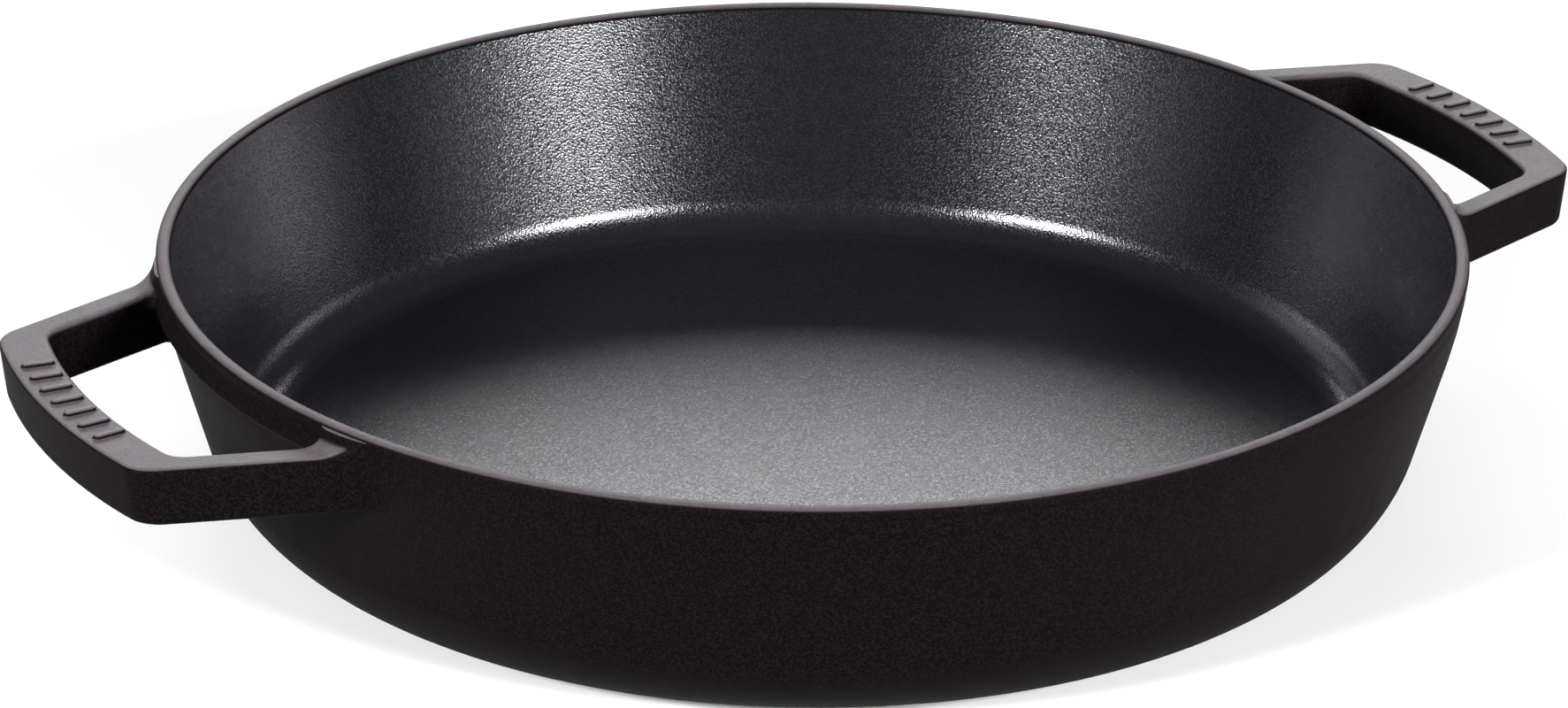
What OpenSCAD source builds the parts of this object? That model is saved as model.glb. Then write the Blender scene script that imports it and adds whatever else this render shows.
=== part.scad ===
/* Wide, shallow enamelled cast iron skillet with two loop handles.
   Millimetres. The origin is the centre of the pan on the plane it stands on.
   +Z is up and the two handles lie along X, "left" at -X and "right" at +X.
   "front" is the -Y side and "back" is the +Y side.

   Sections of the pan are turned about Z from one half section. Each node is a
   region of the casting, cut so that neighbours share a face and never overlap. */

/* [Pan] */
// Diameter over the rim
rim_d = 340; // [320:1:360]
// Height from the base to the top of the rim
pan_h = 67.5; // [62:0.5:74]
// Height of the cooking surface above the base
floor_z = 5; // [4.5:0.25:6.5]
// Thickness of the rim, enamel included
rim_t = 3.6; // [3.2:0.1:4.4]
// Height of the foot ring under the floor
foot_h = 1; // [0.6:0.1:1.5]
// Thickness of the enamel inside the pan
enamel_t = 0.4; // [0.3:0.05:0.6]

/* [Handles] */
// Distance from the centre of the pan to the outermost edge of a handle
reach = 213.9; // [208:0.1:220]
// Width of the grip bar at its top face
grip_w = 13.3; // [11:0.1:15]
// Depth of a handle from its top face to its underside
handle_t = 15.4; // [12:0.1:15.5]
// Drop from the top of the rim to the top face of the handles
handle_drop = 5.7; // [4:0.1:7]
// Number of raised ribs on each grip bar
rib_count = 7; // [3:1:9]

/* [Hidden] */
SIDES = ["left", "right"];

$fn = 96;
turn_fn = 288;         // facets of everything that goes right round the pan or along the grip
slack = 1;             // how far a cutting shape runs past what it cuts
overlap = 0.01;        // how far two parts of one outline run into each other
iron = [0.13, 0.12, 0.13];
worn_iron = [0.24, 0.22, 0.23];
enamel = [0.12, 0.12, 0.14];

// Outside of the pan: a rounded heel, a flared cone, and an upper band that curves up to the rim
rim_r = rim_d / 2;
flare = 15.3;          // lean of the cone from the vertical, in degrees
rim_lean = 4;          // lean that is left at the rim
band_r = 98;           // radius of the upper band
heel_r = 27;
band_c = [rim_r - band_r * cos(rim_lean), pan_h + band_r * sin(rim_lean)];
band_start = band_c + band_r * [cos(flare), -sin(flare)];
function cone_x(z) = band_start[0] - (band_start[1] - z) * tan(flare);
heel_c = [cone_x(heel_r) - heel_r / cos(flare), heel_r];
heel_end = heel_c + heel_r * [cos(flare), -sin(flare)];

// Inside of the pan: a straight cone that a fillet joins to the flat floor
cavity_lean = 14.3;
cavity_fillet = 12;
function cavity_x(z) = rim_r - rim_t - (pan_h - z) * tan(cavity_lean);
cavity_c = [
    cavity_x(floor_z + cavity_fillet) - cavity_fillet / cos(cavity_lean),
    floor_z + cavity_fillet
];

// Rim and foot
rim_h = 6;             // height of the rim node
rim_z = pan_h - rim_h;
rim_edge_out = 1.3;    // edge radii of the rim
rim_edge_in = 1;
foot_w = 15;           // width of the foot's flat face

// Handles
handle_z1 = pan_h - handle_drop;
handle_z0 = handle_z1 - handle_t;
grip_r = 185.5;        // radius of the grip bar's outer edge
grip_c = reach - grip_r;
grip_lean = 2.5;       // how far each long side of the grip bar draws in towards its underside
arm_angle = 18;        // angle between an arm and the X axis
arm_w = 8.4;           // width of an arm, seen from above
corner_x = reach - 5.7;
corner_y = 45.6;       // half width of the loop at its outer corners
hole_y = corner_y - arm_w / cos(arm_angle);
corner_r = 10;         // outer corner of the loop
hole_r = 6;            // corners of the finger opening
root_fillet = 17;      // where an arm's outer side runs into the pan
root_margin = 9;       // how far that fillet reaches out from the arm
grip_x = reach - 27;   // the arms end and the grip bar begins here

// Root band: the slightly thicker zone of the wall that carries a handle
root_out = 1.3;        // how far its crest stands out past the rim
root_rim_out = 0.2;    // how far its top edge stands out past the rim
root_crest_z = handle_z1 - 2.3;
root_foot_out = 0.6;   // how far its lower edge stands out past the wall
root_span = 27;        // half of its length round the pan, in degrees
root_top = pan_h - 2.5;

// Ribs
rib_l = 8.4;
rib_w = 2.6;
rib_h = 1;
rib_pitch = 2.5;       // in degrees round the grip bar

// ---- half sections of the pan ----

// Everything inside the outer surface of the pan
module outline() {
    polygon([[0, 0], heel_c - [0, heel_r], heel_end, band_start, [0, band_start[1]]]);
    intersection() {
        translate(heel_c) circle(heel_r);
        translate([heel_c[0] - slack, 0]) square([heel_r + 2 * slack, heel_end[1]]);
    }
    intersection() {
        translate(band_c) circle(band_r);
        translate([0, band_start[1] - overlap]) square([rim_r + slack, pan_h - band_start[1] + overlap]);
    }
}

// The hollow of the pan, grown outwards by a layer
module cavity(grow = 0) {
    r = cavity_fillet + grow;
    fillet_end = cavity_c + r * [cos(cavity_lean), -sin(cavity_lean)];
    top = pan_h + slack;
    polygon([
        [0, floor_z - grow],
        [cavity_c[0], floor_z - grow],
        fillet_end,
        [cavity_x(top) + grow / cos(cavity_lean), top],
        [0, top]
    ]);
    intersection() {
        translate(cavity_c) circle(r);
        translate([cavity_c[0] - slack, floor_z - grow]) square([r + slack, fillet_end[1] - floor_z + grow]);
    }
}

// What the rounding takes off the two edges of the rim
module rim_edges() {
    translate([rim_r - rim_edge_out, pan_h - rim_edge_out])
        difference() {
            square(rim_edge_out + slack);
            circle(rim_edge_out);
        }
    translate([rim_r - rim_t + rim_edge_in, pan_h - rim_edge_in])
        difference() {
            translate([-rim_edge_in - slack, 0]) square([rim_edge_in + slack, rim_edge_in + slack]);
            circle(rim_edge_in);
        }
}

// The iron of the pan between two heights, outside a radius
module iron_band(z0, z1, inner_x = 0) {
    difference() {
        intersection() {
            outline();
            translate([inner_x, z0]) square([rim_r + slack - inner_x, z1 - z0]);
        }
        cavity(enamel_t);
        rim_edges();
    }
}

module turned() {
    rotate_extrude($fn = turn_fn) children();
}

// ---- the pan ----

module floor_plate() {
    color(iron)
    turned()
    intersection() {
        iron_band(foot_h, floor_z);
        square([cavity_c[0], floor_z]);
    }
}

module foot_ring() {
    color(iron)
    turned() iron_band(0, foot_h, heel_c[0] - foot_w);
}

// The heel starts where the floor's fillet does
module heel() {
    color(iron)
    turned() iron_band(foot_h, heel_end[1], cavity_c[0]);
}

module side_wall() {
    color(iron)
    turned() iron_band(heel_end[1], rim_z);
}

module rim() {
    color(worn_iron)
    turned() iron_band(rim_z, pan_h);
}

module cooking_enamel() {
    color(enamel)
    turned()
    difference() {
        intersection() {
            cavity(enamel_t);
            square([rim_r, pan_h]);
        }
        cavity();
        rim_edges();
    }
}

// ---- a handle, drawn at +X ----

// Half section out to the surface of the root band
module root_outline() {
    polygon([
        [0, handle_z0],
        [cone_x(handle_z0) + root_foot_out, handle_z0],
        [rim_r + root_out, root_crest_z],
        [rim_r + root_rim_out, root_top],
        [0, root_top]
    ]);
}

module root_band() {
    color(iron)
    difference() {
        rotate([0, 0, -root_span])
            rotate_extrude(angle = 2 * root_span, $fn = turn_fn) root_outline();
        turned() outline();
    }
}

// Plan of a wedge half_w wide to each side at x, whose sides run back to the pan at the arm's angle
module wedge(half_w, x) {
    near = half_w + x * tan(arm_angle);
    far = half_w - (reach + slack - x) * tan(arm_angle);
    polygon([[0, near], [reach + slack, far], [reach + slack, -far], [0, -near]]);
}

module loop_block() {
    intersection() {
        translate([grip_c, 0]) circle(grip_r, $fn = turn_fn);
        wedge(corner_y, corner_x);
    }
}

module finger_hole() {
    offset(r = hole_r)
    offset(delta = -hole_r)
    difference() {
        intersection() {
            translate([grip_c, 0]) circle(grip_r - grip_w, $fn = turn_fn);
            wedge(hole_y, corner_x);
        }
        circle(rim_r - slack, $fn = turn_fn);
    }
}

// Loop seen from above: rounded corners outside, fillets where the arms reach the pan
module loop_plan() {
    difference() {
        intersection() {
            offset(r = -root_fillet)
            offset(delta = root_fillet)
            union() {
                offset(r = corner_r) offset(delta = -corner_r) loop_block();
                circle(rim_r, $fn = turn_fn);
            }
            wedge(corner_y + root_margin, corner_x);
        }
        finger_hole();
    }
}

// Inside of a cone that follows one long side of the grip bar down to the underside
module grip_side(r, lean) {
    translate([grip_c, 0, handle_z0 - overlap])
        cylinder(h = handle_t + 2 * overlap, r1 = r - lean, r2 = r, $fn = turn_fn);
}

// What the inner side of the grip bar loses to its lean
module grip_undercut() {
    intersection() {
        grip_side(grip_r - grip_w, -grip_lean);
        translate([0, 0, handle_z0 - slack])
            linear_extrude(handle_t + 2 * slack)
                intersection() {
                    wedge(hole_y - hole_r / 2, corner_x);
                    translate([grip_x, -corner_y]) square([reach, 2 * corner_y]);
                }
    }
}

module loop() {
    difference() {
        intersection() {
            translate([0, 0, handle_z0]) linear_extrude(handle_t) loop_plan();
            grip_side(grip_r, grip_lean);
        }
        grip_undercut();
        turned() outline();
        turned() root_outline();
    }
}

module arm(side) {
    color(worn_iron)
    intersection() {
        loop();
        translate([0, side < 0 ? -rim_r : 0, 0]) cube([grip_x, rim_r, pan_h]);
    }
}

module grip() {
    color(worn_iron)
    intersection() {
        loop();
        translate([grip_x, -rim_r, 0]) cube([reach, 2 * rim_r, pan_h]);
    }
}

// One raised bar across the grip, with round ends
module rib(i) {
    mid_r = grip_r - grip_w / 2;
    straight = rib_l - rib_w;
    color(worn_iron)
    translate([grip_c, 0, handle_z1])
        rotate([0, 0, (i - (rib_count + 1) / 2) * rib_pitch])
            translate([mid_r, 0, 0]) {
                translate([-straight / 2, -rib_w / 2, 0]) cube([straight, rib_w, rib_h]);
                for (end = [-1, 1])
                    translate([end * straight / 2, 0, 0]) cylinder(h = rib_h, d = rib_w, $fn = 32);
            }
}

// The right handle is as drawn and the left handle is the same casting turned half round
module on_side(side) {
    rotate([0, 0, side == "left" ? 180 : 0]) children();
}

floor_plate();
foot_ring();
heel();
side_wall();
rim();
cooking_enamel();
for (side = SIDES) {
    front = side == "left" ? 1 : -1;
    on_side(side) root_band();
    on_side(side) arm(front);
    on_side(side) arm(-front);
    on_side(side) grip();
    for (i = [1 : rib_count])
        on_side(side) rib(i);
}
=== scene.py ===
"""Enamelled cast iron skillet with two loop handles, on a pale studio floor.

Shapes are worked out in millimetres in the frame of the CAD model: the origin is the centre of the pan
on the floor, +Z is up, and the handles lie along X. The driving sizes are read from the frame."""

import math

import bmesh
import bpy
import numpy as np
from mathutils import Matrix, Vector


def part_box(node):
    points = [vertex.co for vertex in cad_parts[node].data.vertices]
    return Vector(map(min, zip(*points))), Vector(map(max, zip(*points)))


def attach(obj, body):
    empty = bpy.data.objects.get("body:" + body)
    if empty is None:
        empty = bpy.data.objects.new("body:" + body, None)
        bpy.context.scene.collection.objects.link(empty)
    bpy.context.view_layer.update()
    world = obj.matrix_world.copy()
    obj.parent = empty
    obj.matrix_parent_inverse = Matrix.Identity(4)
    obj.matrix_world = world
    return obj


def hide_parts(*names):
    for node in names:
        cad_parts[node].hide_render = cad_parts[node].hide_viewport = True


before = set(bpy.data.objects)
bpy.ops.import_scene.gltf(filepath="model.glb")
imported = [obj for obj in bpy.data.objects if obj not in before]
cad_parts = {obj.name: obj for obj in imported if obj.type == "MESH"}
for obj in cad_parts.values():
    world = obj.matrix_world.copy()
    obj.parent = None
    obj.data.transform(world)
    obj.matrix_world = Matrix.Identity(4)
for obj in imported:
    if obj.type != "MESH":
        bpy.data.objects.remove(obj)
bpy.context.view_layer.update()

MM = 0.001


def box_mm(node):
    low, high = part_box(node)
    return Vector(low) / MM, Vector(high) / MM


# ---- sizes ----

rim_box = box_mm("rim")
enamel_box = box_mm("cooking_enamel")
grip_box = box_mm("grip_right")

RIM_R = rim_box[1].x
PAN_H = rim_box[1].z
RIM_T = 3.6
FLOOR_Z = 5.0
FOOT_H = box_mm("foot_ring")[1].z
ENAMEL_T = FLOOR_Z - enamel_box[0].z

FLARE = math.radians(15.3)  # lean of the outer wall from the vertical
RIM_LEAN = math.radians(4)  # lean that is left at the rim
BAND_R = 98.0  # radius of the band that joins the two
HEEL_R = 27.0
CAVITY_LEAN = math.radians(14.3)
CAVITY_FILLET = 12.0
FOOT_W = 15.0

LIP_H = 3.6  # height of the rounded lip at the rim
LIP_STEP = 0.35  # how far the wall under the lip stands back
LIP_BLEND = 2.6  # height over which the wall runs in to the step
LIP_EDGE_OUT = 1.6
LIP_EDGE_IN = 1.7
ENAMEL_TOP = PAN_H - 1.4

REACH = grip_box[1].x
HANDLE_Z1 = grip_box[1].z
HANDLE_Z0 = grip_box[0].z
HANDLE_T = HANDLE_Z1 - HANDLE_Z0
GRIP_W = 13.3
GRIP_R = 185.5  # radius of the grip's outer edge
GRIP_C = REACH - GRIP_R
ARM_ANGLE = math.radians(18)
ARM_W = 8.4
CORNER_X = REACH - 5.7
CORNER_Y = 45.6
HOLE_Y = CORNER_Y - ARM_W / math.cos(ARM_ANGLE)
GRIP_X = REACH - 27.0  # the arms end and the grip begins here

RIB_COUNT = 7
RIB_PITCH = math.radians(2.5)
RIB_L = 8.4
RIB_W = 2.6
RIB_H = 1.0


# ---- profiles of the pan, as lists of (radius, height) ----


def rounded(corners, step=math.radians(4)):
    """Points of an open path whose inner corners are arcs. Each corner is (x, z, radius)."""
    points = [corners[0][:2]]
    for before, here, after in zip(corners, corners[1:], corners[2:]):
        corner = Vector(here[:2])
        back = (Vector(before[:2]) - corner).normalized()
        ahead = (Vector(after[:2]) - corner).normalized()
        radius = here[2]
        half = back.angle(ahead) / 2
        if radius == 0:
            points.append(tuple(corner))
            continue
        centre = corner + (back + ahead).normalized() * radius / math.sin(half)
        start = corner + back * radius / math.tan(half) - centre
        end = corner + ahead * radius / math.tan(half) - centre
        sweep = start.angle_signed(end)
        count = max(3, math.ceil(abs(sweep) / step))
        for i in range(count + 1):
            turn = -sweep * i / count
            points.append(
                (
                    centre.x + start.x * math.cos(turn) - start.y * math.sin(turn),
                    centre.y + start.x * math.sin(turn) + start.y * math.cos(turn),
                )
            )
    points.append(corners[-1][:2])
    return points


def meet(p, lean_p, q, lean_q):
    """Where two lines meet, each through a point and leaning outwards from the vertical."""
    z = (q[0] - p[0] + p[1] * math.tan(lean_p) - q[1] * math.tan(lean_q)) / (
        math.tan(lean_p) - math.tan(lean_q)
    )
    return p[0] + (z - p[1]) * math.tan(lean_p), z


def height_at(path, radius):
    """Height at which the heel, the lowest part of a path, reaches a radius."""
    heel = [p for p in path if p[1] < HEEL_TOP]
    return float(np.interp(radius, [r for r, _ in heel], [z for _, z in heel]))


def between(path, z0, z1):
    """The part of a rising path between two heights."""
    heights = [z for _, z in path]
    radii = [r for r, _ in path]
    ends = [(float(np.interp(z, heights, radii)), z) for z in (z0, z1)]
    middle = [p for p in path if z0 < p[1] < z1]
    return [ends[0], *middle, ends[1]]


BAND_START = (
    RIM_R - BAND_R * (math.cos(RIM_LEAN) - math.cos(FLARE)),
    PAN_H + BAND_R * (math.sin(RIM_LEAN) - math.sin(FLARE)),
)


def wall_radius(z):
    """Radius of the outer wall at a height, above the heel."""
    cone = BAND_START[0] + (z - BAND_START[1]) * math.tan(FLARE)
    rise = PAN_H + BAND_R * math.sin(RIM_LEAN) - z
    band = RIM_R - BAND_R * math.cos(RIM_LEAN) + np.sqrt(np.maximum(BAND_R**2 - rise**2, 0))
    return np.where(z < BAND_START[1], cone, band)


def cavity_radius(z):
    return RIM_R - RIM_T - (PAN_H - z) * math.tan(CAVITY_LEAN)


HEEL_X = float(wall_radius(HEEL_R)) - HEEL_R / math.cos(FLARE)
CAVITY_X = cavity_radius(FLOOR_Z + CAVITY_FILLET) - CAVITY_FILLET / math.cos(CAVITY_LEAN)
HEEL_TOP = HEEL_R * (1 - math.sin(FLARE))
RIM_Z = rim_box[0].z


def outer_path():
    foot_corner = (float(wall_radius(0.0)), 0, HEEL_R)
    band_corner = (*meet(BAND_START, FLARE, (RIM_R, PAN_H), RIM_LEAN), BAND_R)
    lip_z = PAN_H - LIP_H
    under_lip = float(wall_radius(lip_z)) - LIP_STEP
    heel_and_wall = rounded([(HEEL_X - 1, 0), foot_corner, band_corner, (RIM_R, PAN_H)])
    lip = rounded(
        [
            (float(wall_radius(lip_z - LIP_BLEND)), lip_z - LIP_BLEND),
            (under_lip, lip_z, 0.5),
            (float(wall_radius(lip_z + 1)), lip_z + 0.8, 0.7),
            (RIM_R, PAN_H, LIP_EDGE_OUT),
            (RIM_R - RIM_T / 2, PAN_H),
        ],
        math.radians(12),
    )
    return [p for p in heel_and_wall if p[1] < lip_z - LIP_BLEND] + lip


def cavity_path(grow=0.0):
    """Inner surface of the pan from the floor's edge upwards, or a layer under it."""
    shift = grow / math.cos(CAVITY_LEAN)
    low = FLOOR_Z - grow
    return rounded(
        [
            (CAVITY_X, low),
            (cavity_radius(low) + shift, low, CAVITY_FILLET + grow),
            (cavity_radius(ENAMEL_TOP) + shift, ENAMEL_TOP),
        ]
    )


def lip_inside():
    return rounded(
        [
            (cavity_radius(ENAMEL_TOP), ENAMEL_TOP),
            (RIM_R - RIM_T, PAN_H, LIP_EDGE_IN),
            (RIM_R - RIM_T / 2, PAN_H),
        ],
        math.radians(12),
    )


# ---- meshes ----


def finish_piece(name, mesh, slot, material, *nodes):
    """Makes the object, gives it its material and stands it in for CAD nodes."""
    piece = bpy.data.objects.new(name, mesh)
    bpy.context.scene.collection.objects.link(piece)
    mesh.materials.append(material)
    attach(piece, "root")
    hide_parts(*nodes)
    return piece


def lathe(name, profile, turns=360, crease=math.radians(35)):
    """Turns a closed profile about Z. A profile whose two ends are on the axis is closed there."""
    bm = bmesh.new()
    on_axis = profile[0][0] == 0
    angles = [2 * math.pi * i / turns for i in range(turns)]
    rings = []
    for r, z in profile:
        if r == 0:
            rings.append([bm.verts.new((0, 0, z * MM))] * turns)
            continue
        circle = [(r * math.cos(a) * MM, r * math.sin(a) * MM, z * MM) for a in angles]
        rings.append([bm.verts.new(point) for point in circle])
    pairs = list(zip(rings, rings[1:]))
    if not on_axis:
        pairs.append((rings[-1], rings[0]))
    for below, above in pairs:
        for i in range(turns):
            j = (i + 1) % turns
            corners = dict.fromkeys([below[i], below[j], above[j], above[i]])
            bm.faces.new(corners)
    bmesh.ops.recalc_face_normals(bm, faces=bm.faces)
    mesh = bpy.data.meshes.new(name)
    bm.to_mesh(mesh)
    bm.free()
    mesh.shade_smooth()
    mesh.set_sharp_from_angle(angle=crease)
    return mesh


def surface_net(field, low, high, step):
    """Vertices and quads of the surface where field is 0: one vertex in each grid cell that it crosses."""
    axes = [np.arange(a, b + step, step) for a, b in zip(low, high)]
    grid = np.stack(np.meshgrid(*axes, indexing="ij"), -1)
    inside = field(grid) < 0
    cells = np.array(inside.shape) - 1
    filled = np.zeros(cells, int)
    for corner in np.ndindex(2, 2, 2):
        filled += inside[tuple(slice(c, c + n) for c, n in zip(corner, cells))]
    crossed = (filled > 0) & (filled < 8)
    number = np.full(cells, -1)
    number[crossed] = np.arange(crossed.sum())
    points = np.argwhere(crossed) * step + np.array(low) + step / 2
    quads = []
    for axis in range(3):
        u, v = (axis + 1) % 3, (axis + 2) % 3
        near = np.moveaxis(inside, axis, 0)
        change = np.moveaxis(near[1:] != near[:-1], 0, axis)
        edges = np.argwhere(change)
        inner = (edges[:, u] > 0) & (edges[:, v] > 0)
        inner &= (edges[:, u] < cells[u]) & (edges[:, v] < cells[v])
        edges = edges[inner]
        ring = []
        for du, dv in ((0, 0), (1, 0), (1, 1), (0, 1)):
            cell = edges.copy()
            cell[:, u] -= du
            cell[:, v] -= dv
            ring.append(number[tuple(cell.T)])
        quad = np.stack(ring, 1)
        outward = inside[tuple(edges.T)]
        quad[~outward] = quad[~outward][:, ::-1]
        quads.append(quad)
    return points, np.concatenate(quads)


def gradient(field, points, reach=0.05):
    steps = np.eye(3) * reach
    return np.stack([field(points + s) - field(points - s) for s in steps], -1) / (2 * reach)


def settle(field, points, rounds=8, limit=0.4, flattest=0.3):
    """Draws points onto the surface of a field, by limited steps where its slope is small."""
    for _ in range(rounds):
        slope = gradient(field, points)
        length = np.maximum(np.linalg.norm(slope, axis=-1, keepdims=True), flattest)
        move = field(points)[..., None] / length
        points = points - np.clip(move, -limit, limit) * slope / length
    return points


# ---- shape of a handle, as a field that is negative inside the iron ----


def round_max(a, b, radius, cosine=0.0):
    """Both of two regions, with the edge between them rounded. cosine is that of the angle between
    their outward directions."""
    u, v = a + radius, b + radius
    arc = np.sqrt(np.maximum(u * u + v * v - 2 * cosine * u * v, 0) / (1 - cosine**2)) - radius
    return np.where((u > cosine * v) & (v > cosine * u), arc, np.maximum(a, b))


def round_min(a, b, radius, cosine=0.0):
    """Either of two regions, with a fillet between them."""
    return -round_max(-a, -b, radius, cosine)


def smooth_step(x, start, end):
    t = np.clip((x - start) / (end - start), 0, 1)
    return t * t * (3 - 2 * t)


ARM_DRAFT = 0.8  # how far the arms' sides draw in towards the underside
GRIP_DRAFT = 1.6
CORNER_R = 10.0
HOLE_R = 6.0
ROOT_FILLET = 17.0
EDGE_TOP_OUT = 1.1
EDGE_TOP_IN = 2.7
EDGE_UNDER = 1.4
COVE_R = 7.5  # an arm's top face runs up to the rim in a cove of this radius
COVE_SUNK = 0.9  # how far the cove runs in under the lip's face
COVE_TOP = PAN_H - 1.1
CREST_Z = HANDLE_Z1 - 2.4
CREST_OUT = 2.1  # how far the crest stands out from the wall
CREST_H = 0.6  # height of the crest's face
CREST_DRAFT = 0.1  # how far that face leans in
COVE_BEND = 1.6  # 1 makes the root's cove a straight slope, and more hollows it out
UNDERCUT_H = 3.2  # the root is back in line with the wall this far under its crest
ROOT_TOP = PAN_H - LIP_H
ROOT_SPAN = (math.radians(17.5), math.radians(24))
ROOT_BLEND = 3.0  # radius between the arms and the root, over the least one
LEAST_BLEND = 0.05
ROOT_BLEND_END = (math.radians(24.5), math.radians(19.5))
SUNK = 0.3  # how far the edges of a handle's root lie under the surface of the wall
SUNK_H = 0.8  # height over which the root's top edge goes under
BACKING = 1.8  # thickness of the rim that is left behind the root
GRIP_TURN = math.cos(math.radians(58))  # for the angle between an arm's side and the grip's
WALL_TURN = math.cos(math.radians(52))  # for the angle between an arm's side and the wall


def side_line(x, y, half_width):
    """Distance outside the line of an arm's side."""
    slope = math.tan(ARM_ANGLE)
    return (y - half_width - (CORNER_X - x) * slope) * math.cos(ARM_ANGLE)


def root_offset(z):
    """How far the root stands out from the wall at a height: a cove over a crest, undercut below."""
    drop = np.clip((ROOT_TOP - z) / (ROOT_TOP - CREST_Z), 0, 1)
    cove = CREST_OUT * drop**COVE_BEND - SUNK * smooth_step(z, ROOT_TOP, ROOT_TOP + SUNK_H)
    heights = [CREST_Z - UNDERCUT_H, CREST_Z - CREST_H, CREST_Z]
    below = np.interp(z, heights, [-SUNK, CREST_OUT - CREST_DRAFT, CREST_OUT])
    return np.where(z > CREST_Z, cove, below)


OUTER = np.array(outer_path())


def loop_field(x, y, z, outside_wall):
    """The two arms and the grip, carried on into the wall."""
    depth = (HANDLE_Z1 - z) / HANDLE_T
    arc = np.hypot(x - GRIP_C, y)
    outer = round_max(
        side_line(x, y, CORNER_Y) + ARM_DRAFT * depth,
        arc - GRIP_R + GRIP_DRAFT * depth,
        CORNER_R,
        GRIP_TURN,
    )
    outer = round_min(outer, outside_wall + SUNK, ROOT_FILLET, WALL_TURN)
    hole = round_max(
        side_line(x, y, HOLE_Y) - ARM_DRAFT * depth,
        arc - GRIP_R + GRIP_W - GRIP_DRAFT * depth,
        HOLE_R,
        GRIP_TURN,
    )
    top = round_min(z - HANDLE_Z1, np.hypot(x, y) - RIM_R + COVE_SUNK, COVE_R)
    under = HANDLE_Z0 - z
    return np.maximum(
        round_max(round_max(outer, top, EDGE_TOP_OUT), under, EDGE_UNDER),
        round_max(round_max(-hole, top, EDGE_TOP_IN), under, EDGE_UNDER),
    )


def handle_field(p):
    """The right handle with its root. Its two halves mirror each other in Y."""
    x, y, z = p[..., 0], np.abs(p[..., 1]), p[..., 2]
    outside_wall = np.hypot(x, y) - np.interp(z, OUTER[:, 1], OUTER[:, 0])
    loop = loop_field(x, y, z, outside_wall)

    angle = np.arctan2(y, x)
    offset = -SUNK + (root_offset(z) + SUNK) * smooth_step(angle, ROOT_SPAN[1], ROOT_SPAN[0])
    root = (outside_wall - offset) * math.cos(FLARE)
    blend = ROOT_BLEND * smooth_step(angle, *ROOT_BLEND_END) + LEAST_BLEND
    body = round_min(loop, root, blend)
    behind = BACKING - RIM_T - outside_wall
    return np.maximum(np.maximum(body, behind), z - COVE_TOP)


def cut_off(bm, point, normal):
    """Removes what lies beyond a plane and closes the cut."""
    geometry = list(bm.verts) + list(bm.edges) + list(bm.faces)
    done = bmesh.ops.bisect_plane(
        bm, geom=geometry, plane_co=point, plane_no=normal, clear_outer=True, dist=1e-5
    )
    edges = [e for e in done["geom_cut"] if isinstance(e, bmesh.types.BMEdge)]
    bmesh.ops.holes_fill(bm, edges=edges, sides=0)


NET_STEP = 0.6
NET_LOW = (HEEL_X + 10, -92, HANDLE_Z0 - 5.3)  # corners of a box with room for the right handle
NET_HIGH = (REACH + 1.5, 92, PAN_H)


def handle_mesh():
    points, quads = surface_net(handle_field, NET_LOW, NET_HIGH, NET_STEP)
    points = settle(handle_field, points)
    mesh = bpy.data.meshes.new("handle")
    mesh.from_pydata(points * MM, [], quads)
    return mesh


def region_of(whole, name, planes, turned):
    """A closed part of the handle between planes. The left handle is the right one turned half round."""
    bm = bmesh.new()
    bm.from_mesh(whole)
    for point, normal in planes:
        cut_off(bm, Vector(point) * MM, Vector(normal))
    mesh = bpy.data.meshes.new(name)
    bm.to_mesh(mesh)
    bm.free()
    mesh.shade_smooth()
    set_normals(mesh)
    if turned:
        mesh.transform(Matrix.Rotation(math.pi, 4, "Z"))
    return mesh


def set_normals(mesh):
    """Takes the shading of the curved faces from the handle's field and leaves cut faces flat."""
    count = len(mesh.vertices)
    points = np.zeros(count * 3, np.float32)
    mesh.vertices.foreach_get("co", points)
    slope = gradient(handle_field, points.reshape(-1, 3).astype(float) / MM)
    slope /= np.maximum(np.linalg.norm(slope, axis=-1, keepdims=True), 1e-6)
    normals = np.zeros((len(mesh.loops), 3))
    for face in mesh.polygons:
        for i in face.loop_indices:
            smooth = slope[mesh.loops[i].vertex_index]
            flat = len(face.vertices) > 4
            normals[i] = face.normal if flat else smooth
    mesh.normals_split_custom_set(normals)


# ---- ribs ----

RIB_FOOT = [(0.5, -0.3), (0.35, 0.0), (0.08, 0.12)]  # (growth, height) of the foot's rings
RIB_CROWN = 0.7  # radius of the top edge
CROWN_STEPS = 6
RIB_SIDES = 32


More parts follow.
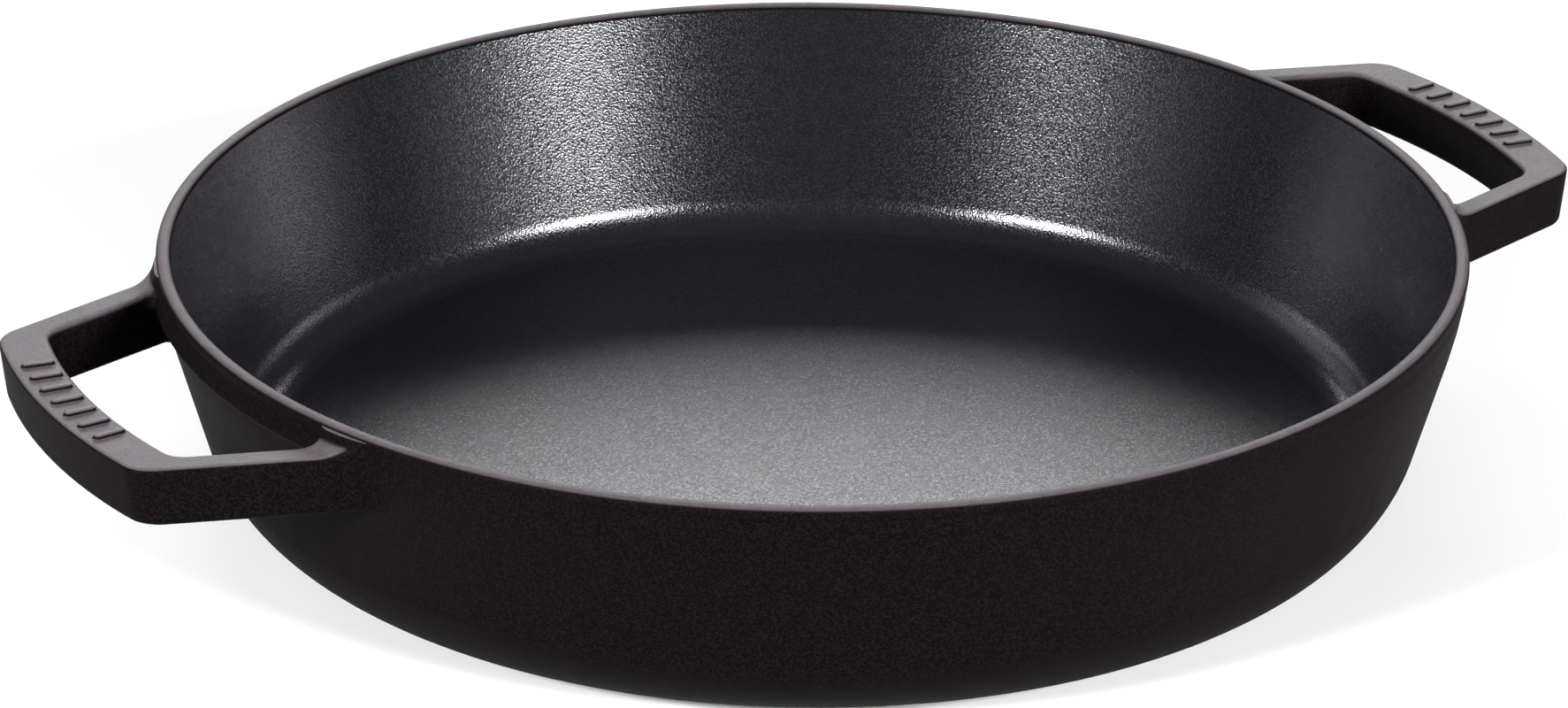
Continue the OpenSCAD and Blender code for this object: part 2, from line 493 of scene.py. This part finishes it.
def rib_mesh(name, number, turned):
    """A raised bar with round ends and a rounded top, that flows into the grip at its foot."""
    straight = (RIB_L - RIB_W) / 2
    radius = RIB_W / 2
    rings = list(RIB_FOOT)
    for i in range(CROWN_STEPS + 1):
        turn = math.pi / 2 * i / CROWN_STEPS
        rings.append((RIB_CROWN * (math.cos(turn) - 1), RIB_H - RIB_CROWN + RIB_CROWN * math.sin(turn)))
    fan = Matrix.Rotation((number - (RIB_COUNT + 1) / 2) * RIB_PITCH, 4, "Z")
    grip_middle = Matrix.Translation((GRIP_R - GRIP_W / 2, 0, 0))
    place = Matrix.Translation((GRIP_C, 0, HANDLE_Z1)) @ fan @ grip_middle
    bm = bmesh.new()
    loops = []
    for grow, z in rings:
        loop = []
        for i in range(RIB_SIDES):
            turn = 2 * math.pi * (i + 0.5) / RIB_SIDES
            x = math.copysign(straight, math.cos(turn)) + (radius + grow) * math.cos(turn)
            loop.append(bm.verts.new(place @ Vector((x, (radius + grow) * math.sin(turn), z)) * MM))
        loops.append(loop)
    for below, above in zip(loops, loops[1:]):
        for i in range(RIB_SIDES):
            j = (i + 1) % RIB_SIDES
            bm.faces.new((below[i], below[j], above[j], above[i]))
    bm.faces.new(loops[-1])
    bm.faces.new(loops[0][::-1])
    mesh = bpy.data.meshes.new(name)
    bm.to_mesh(mesh)
    bm.free()
    mesh.shade_smooth()
    mesh.set_sharp_from_angle(angle=math.radians(50))
    if turned:
        mesh.transform(Matrix.Rotation(math.pi, 4, "Z"))
    return mesh


# ---- materials ----


class Paint:
    """A procedural material, built node by node on the object's own coordinates."""

    def __init__(self, name, specular, tint):
        self.material = bpy.data.materials.new(name)
        self.material.use_nodes = True
        self.tree = self.material.node_tree
        self.shader = self.tree.nodes["Principled BSDF"]
        self.shader.inputs["Specular IOR Level"].default_value = specular
        self.shader.inputs["Specular Tint"].default_value = (*tint, 1)
        self.place = self.tree.nodes.new("ShaderNodeTexCoord").outputs["Object"]
        self.relief = None

    def join(self, value, socket):
        """Feeds a node's output, or a plain number or colour, to a socket."""
        if isinstance(value, bpy.types.NodeSocket):
            self.tree.links.new(value, socket)
        elif isinstance(value, tuple):
            socket.default_value = (*value, 1)
        else:
            socket.default_value = value

    def noise(self, size_mm, detail=2.0, rough=0.5):
        node = self.tree.nodes.new("ShaderNodeTexNoise")
        node.inputs["Scale"].default_value = 1 / (size_mm * MM)
        node.inputs["Detail"].default_value = detail
        node.inputs["Roughness"].default_value = rough
        self.tree.links.new(self.place, node.inputs["Vector"])
        return node.outputs["Fac"]

    def spread(self, value, low, high, start=0.0, end=1.0):
        """low up to start, high beyond end, and a smooth change between."""
        node = self.tree.nodes.new("ShaderNodeMapRange")
        node.interpolation_type = "SMOOTHSTEP"
        for name, number in (("From Min", start), ("From Max", end), ("To Min", low), ("To Max", high)):
            self.join(number, node.inputs[name])
        self.join(value, node.inputs["Value"])
        return node.outputs["Result"]

    def mix(self, factor, low, high):
        """A colour between two colours."""
        node = self.tree.nodes.new("ShaderNodeMix")
        node.data_type = "RGBA"
        colours = [i for i in node.inputs if i.type == "RGBA"]
        self.join(factor, node.inputs["Factor"])
        self.join(low, colours[0])
        self.join(high, colours[1])
        return next(o for o in node.outputs if o.type == "RGBA")

    def facing_up(self, start, end):
        """1 where the surface faces up and 0 where it doesn't."""
        surface = self.tree.nodes.new("ShaderNodeNewGeometry")
        node = self.tree.nodes.new("ShaderNodeSeparateXYZ")
        self.tree.links.new(surface.outputs["Normal"], node.inputs["Vector"])
        return self.spread(node.outputs["Z"], 0.0, 1.0, start, end)

    def set(self, name, value):
        self.join(value, self.shader.inputs[name])

    def bump(self, value, height_mm, strength=1.0):
        """Adds relief. Later calls add to earlier ones."""
        node = self.tree.nodes.new("ShaderNodeBump")
        self.join(strength, node.inputs["Strength"])
        node.inputs["Distance"].default_value = height_mm * MM
        self.tree.links.new(value, node.inputs["Height"])
        if self.relief:
            self.tree.links.new(self.relief, node.inputs["Normal"])
        self.relief = node.outputs["Normal"]
        self.set("Normal", self.relief)
        self.set("Coat Normal", self.relief)


WARM = (1.0, 0.90, 0.96)
COOL = (0.95, 0.92, 1.0)


def iron_paint(name, grain_mm, grain_h, polish=0.65):
    """Matt enamelled iron with a cast grain. Its upper faces get a paler base colour, which is a painted
    highlight, and a smoother glossy coat.
    """
    paint = Paint(name, 0.018, WARM)
    # Mask of the upward faces: it paints them paler (a painted highlight) and gives them a glossy coat.
    painted_highlight_and_coat_mask = paint.facing_up(0.45, 0.95)
    tone = paint.noise(5.0, 4.0, 0.6)
    fine = paint.noise(grain_mm, 3.0, 0.7)
    speckle = paint.spread(fine, 0.0, 1.0, 0.42, 0.62)
    plain = paint.mix(speckle, (0.0010, 0.0007, 0.0008), (0.0042, 0.0029, 0.0032))
    # Paler colour for the upward faces: a painted highlight standing in for the lit tops, with a mottled
    # tone.
    painted_top_highlight = paint.mix(tone, (0.0330, 0.0265, 0.0300), (0.0740, 0.0600, 0.0690))
    paint.set("Base Color", paint.mix(painted_highlight_and_coat_mask, plain, painted_top_highlight))
    paint.set("Roughness", paint.spread(fine, 0.50, 0.66, 0.3, 0.7))
    paint.set("Coat Weight", paint.spread(painted_highlight_and_coat_mask, 0.0, polish))
    paint.set("Coat Roughness", 0.42)
    paint.bump(paint.noise(9.0, 2.0), 0.15)
    paint.bump(fine, grain_h)
    return paint.material


def enamel_paint():
    """Black cooking enamel: glossier, with a dense fine pebble that breaks up its highlights."""
    paint = Paint("black_cooking_enamel", 0.5, COOL)
    tone = paint.noise(3.0, 3.0, 0.6)
    paint.set("Base Color", paint.mix(tone, (0.0030, 0.0028, 0.0035), (0.0060, 0.0055, 0.0070)))
    fine = paint.noise(0.58, 1.0, 0.5)
    wall = paint.spread(fine, 0.12, 0.28, 0.35, 0.65)
    cooked_on = paint.facing_up(0.93, 0.995)
    grain = paint.noise(0.65, 2.0, 0.7)
    floor = paint.spread(grain, 0.25, 0.43, 0.4, 0.6)
    paint.set("Roughness", paint.spread(cooked_on, wall, floor))
    paint.bump(paint.noise(8.0, 2.0), 0.03)
    paint.bump(fine, 0.08)
    paint.bump(grain, 0.13, cooked_on)
    return paint.material


# ---- build ----


def disc(radius, z, rings=8):
    """Points from the axis to just inside a disc's edge."""
    return [(radius * i / rings, z) for i in range(rings)] + [(radius - 0.5, z)]


def build_pan(iron, rim_iron, enamel):
    outer = outer_path()
    under_enamel = cavity_path(ENAMEL_T)
    surface = cavity_path()

    low_z = FLOOR_Z - ENAMEL_T
    plate_edge = between(outer, FOOT_H, height_at(outer, CAVITY_X))
    plate = disc(HEEL_X, FOOT_H) + plate_edge + [(CAVITY_X, low_z)] + disc(CAVITY_X, low_z)[::-1]
    finish_piece("floor_plate_turned", lathe("floor_plate_turned", plate), "iron_body", iron, "floor_plate")

    foot_in = HEEL_X - FOOT_W
    foot_corners = [(foot_in, FOOT_H), (foot_in, 0, 0.6), (HEEL_X, 0)]
    foot = rounded(foot_corners, math.radians(15)) + between(outer, 0.001, FOOT_H)
    finish_piece("foot_ring_turned", lathe("foot_ring_turned", foot), "iron_body", iron, "foot_ring")

    heel = between(outer, height_at(outer, CAVITY_X), HEEL_TOP)
    heel += reversed(between(under_enamel, low_z, HEEL_TOP))
    finish_piece("heel_turned", lathe("heel_turned", heel), "iron_body", iron, "heel")

    wall = between(outer, HEEL_TOP, RIM_Z)
    wall += reversed(between(under_enamel, HEEL_TOP, RIM_Z))
    finish_piece("side_wall_turned", lathe("side_wall_turned", wall), "iron_body", iron, "side_wall")

    rim = between(outer, RIM_Z, PAN_H) + lip_inside()[::-1]
    rim += reversed(between(under_enamel, RIM_Z, ENAMEL_TOP))
    finish_piece("rim_turned", lathe("rim_turned", rim), "rim_iron", rim_iron, "rim")

    coat = disc(CAVITY_X, low_z) + under_enamel + surface[::-1] + disc(CAVITY_X, FLOOR_Z)[::-1]
    finish_piece("cooking_surface", lathe("cooking_surface", coat), "inner_enamel", enamel, "cooking_enamel")


def build_handles(iron, rib_iron):
    whole = handle_mesh()
    clear = 3.8  # the root is cut this far from the arms' inner sides
    line_y = HOLE_Y + CORNER_X * math.tan(ARM_ANGLE) - clear / math.cos(ARM_ANGLE)
    normal = (math.sin(ARM_ANGLE), math.cos(ARM_ANGLE), 0)
    mirrored = (normal[0], -normal[1], 0)
    before_grip = ((GRIP_X, 0, 0), (1, 0, 0))
    regions = {
        "grip": [((GRIP_X, 0, 0), (-1, 0, 0))],
        "root": [before_grip, ((0, line_y, 0), normal), ((0, -line_y, 0), mirrored)],
        "back_arm": [before_grip, ((0, line_y, 0), [-n for n in normal])],
        "front_arm": [before_grip, ((0, -line_y, 0), [-n for n in mirrored])],
    }
    for side, turned in (("right", False), ("left", True)):
        ends = ("front", "back") if turned else ("back", "front")
        nodes = {
            "grip": f"grip_{side}",
            "root": f"root_{side}",
            "back_arm": f"arm_{side}_{ends[0]}",
            "front_arm": f"arm_{side}_{ends[1]}",
        }
        for region, planes in regions.items():
            node = nodes[region]
            mesh = region_of(whole, f"{node}_cast", planes, turned)
            finish_piece(f"{node}_cast", mesh, "handle_iron", iron, node)
        for number in range(1, RIB_COUNT + 1):
            node = f"rib_{side}_{number}"
            mesh = rib_mesh(f"{node}_cast", number, turned)
            finish_piece(f"{node}_cast", mesh, "rib_iron", rib_iron, node)


def direction(azimuth, elevation):
    """From the pan outwards, in degrees. Azimuth 0 is in front of the pan, on the -Y side."""
    a, e = math.radians(azimuth), math.radians(elevation)
    return Vector((math.sin(a) * math.cos(e), -math.cos(a) * math.cos(e), math.sin(e)))


def softbox(name, azimuth, elevation, distance, width, height, power):
    """A soft light that faces the pan from a distance in metres."""
    light = bpy.data.lights.new(name, "AREA")
    light.shape = "RECTANGLE"
    light.size, light.size_y = width, height
    light.energy = power
    lamp = bpy.data.objects.new(name, light)
    bpy.context.scene.collection.objects.link(lamp)
    towards = direction(azimuth, elevation)
    lamp.location = towards * distance
    lamp.rotation_euler = (-towards).to_track_quat("-Z", "Y").to_euler()


def build_stage():
    bpy.ops.mesh.primitive_plane_add(size=40)
    floor = bpy.context.object
    floor.name = "studio_floor"
    paint = Paint("pale_floor", 0.1, (1, 1, 1))
    paint.set("Base Color", paint.mix(paint.noise(300.0), (0.66, 0.66, 0.66), (0.68, 0.68, 0.68)))
    paint.set("Roughness", 0.9)
    floor.data.materials.append(paint.material)

    world = bpy.data.worlds.new("studio")
    bpy.context.scene.world = world
    world.use_nodes = True
    world.node_tree.nodes["Background"].inputs["Color"].default_value = (0.9, 0.92, 1, 1)
    world.node_tree.nodes["Background"].inputs["Strength"].default_value = 0.16

    softbox("back", 152, 25, 2.0, 1.5, 0.7, 25)
    softbox("left", -78, 25, 2.0, 0.5, 0.45, 90)
    softbox("right", 20, 22, 2.0, 0.7, 0.5, 105)
    softbox("left_fill", -158, 16, 2.4, 1.6, 1.2, 9)
    softbox("right_fill", 92, 8, 2.4, 1.6, 0.5, 3.5)
    bpy.context.scene.view_settings.view_transform = "Standard"


CAMERA_AT = Vector((-659.38, -1209.64, 642.05))
CAMERA_AZIMUTH = -27.975
CAMERA_ELEVATION = 24.0
CAMERA_ROLL = 0.19


def build_camera():
    camera = bpy.data.cameras.new("camera")
    camera.sensor_width = 36
    camera.lens = 131.9
    camera.shift_x = 0.0189
    camera.shift_y = 0.0071
    camera.clip_end = 100
    holder = bpy.data.objects.new("camera", camera)
    bpy.context.scene.collection.objects.link(holder)
    holder.location = CAMERA_AT * MM
    level = (-direction(CAMERA_AZIMUTH, CAMERA_ELEVATION)).to_track_quat("-Z", "Y")
    roll = Matrix.Rotation(math.radians(CAMERA_ROLL), 4, "Z").to_quaternion()
    holder.rotation_mode = "QUATERNION"
    holder.rotation_quaternion = level @ roll
    bpy.context.scene.camera = holder


iron = iron_paint("matt_enamelled_iron", grain_mm=0.7, grain_h=0.25)
# The rim's upward faces carry the same painted highlight, with a thinner glossy coat.
rim_iron = iron_paint("rim_iron_painted_top_highlight", grain_mm=0.6, grain_h=0.2, polish=0.4)
handle_iron = iron_paint("cast_handle_iron", grain_mm=0.7, grain_h=0.3)
rib_iron = iron_paint("cast_rib_iron", grain_mm=0.7, grain_h=0.2)

build_pan(iron, rim_iron, enamel_paint())
build_handles(handle_iron, rib_iron)
build_stage()
build_camera()
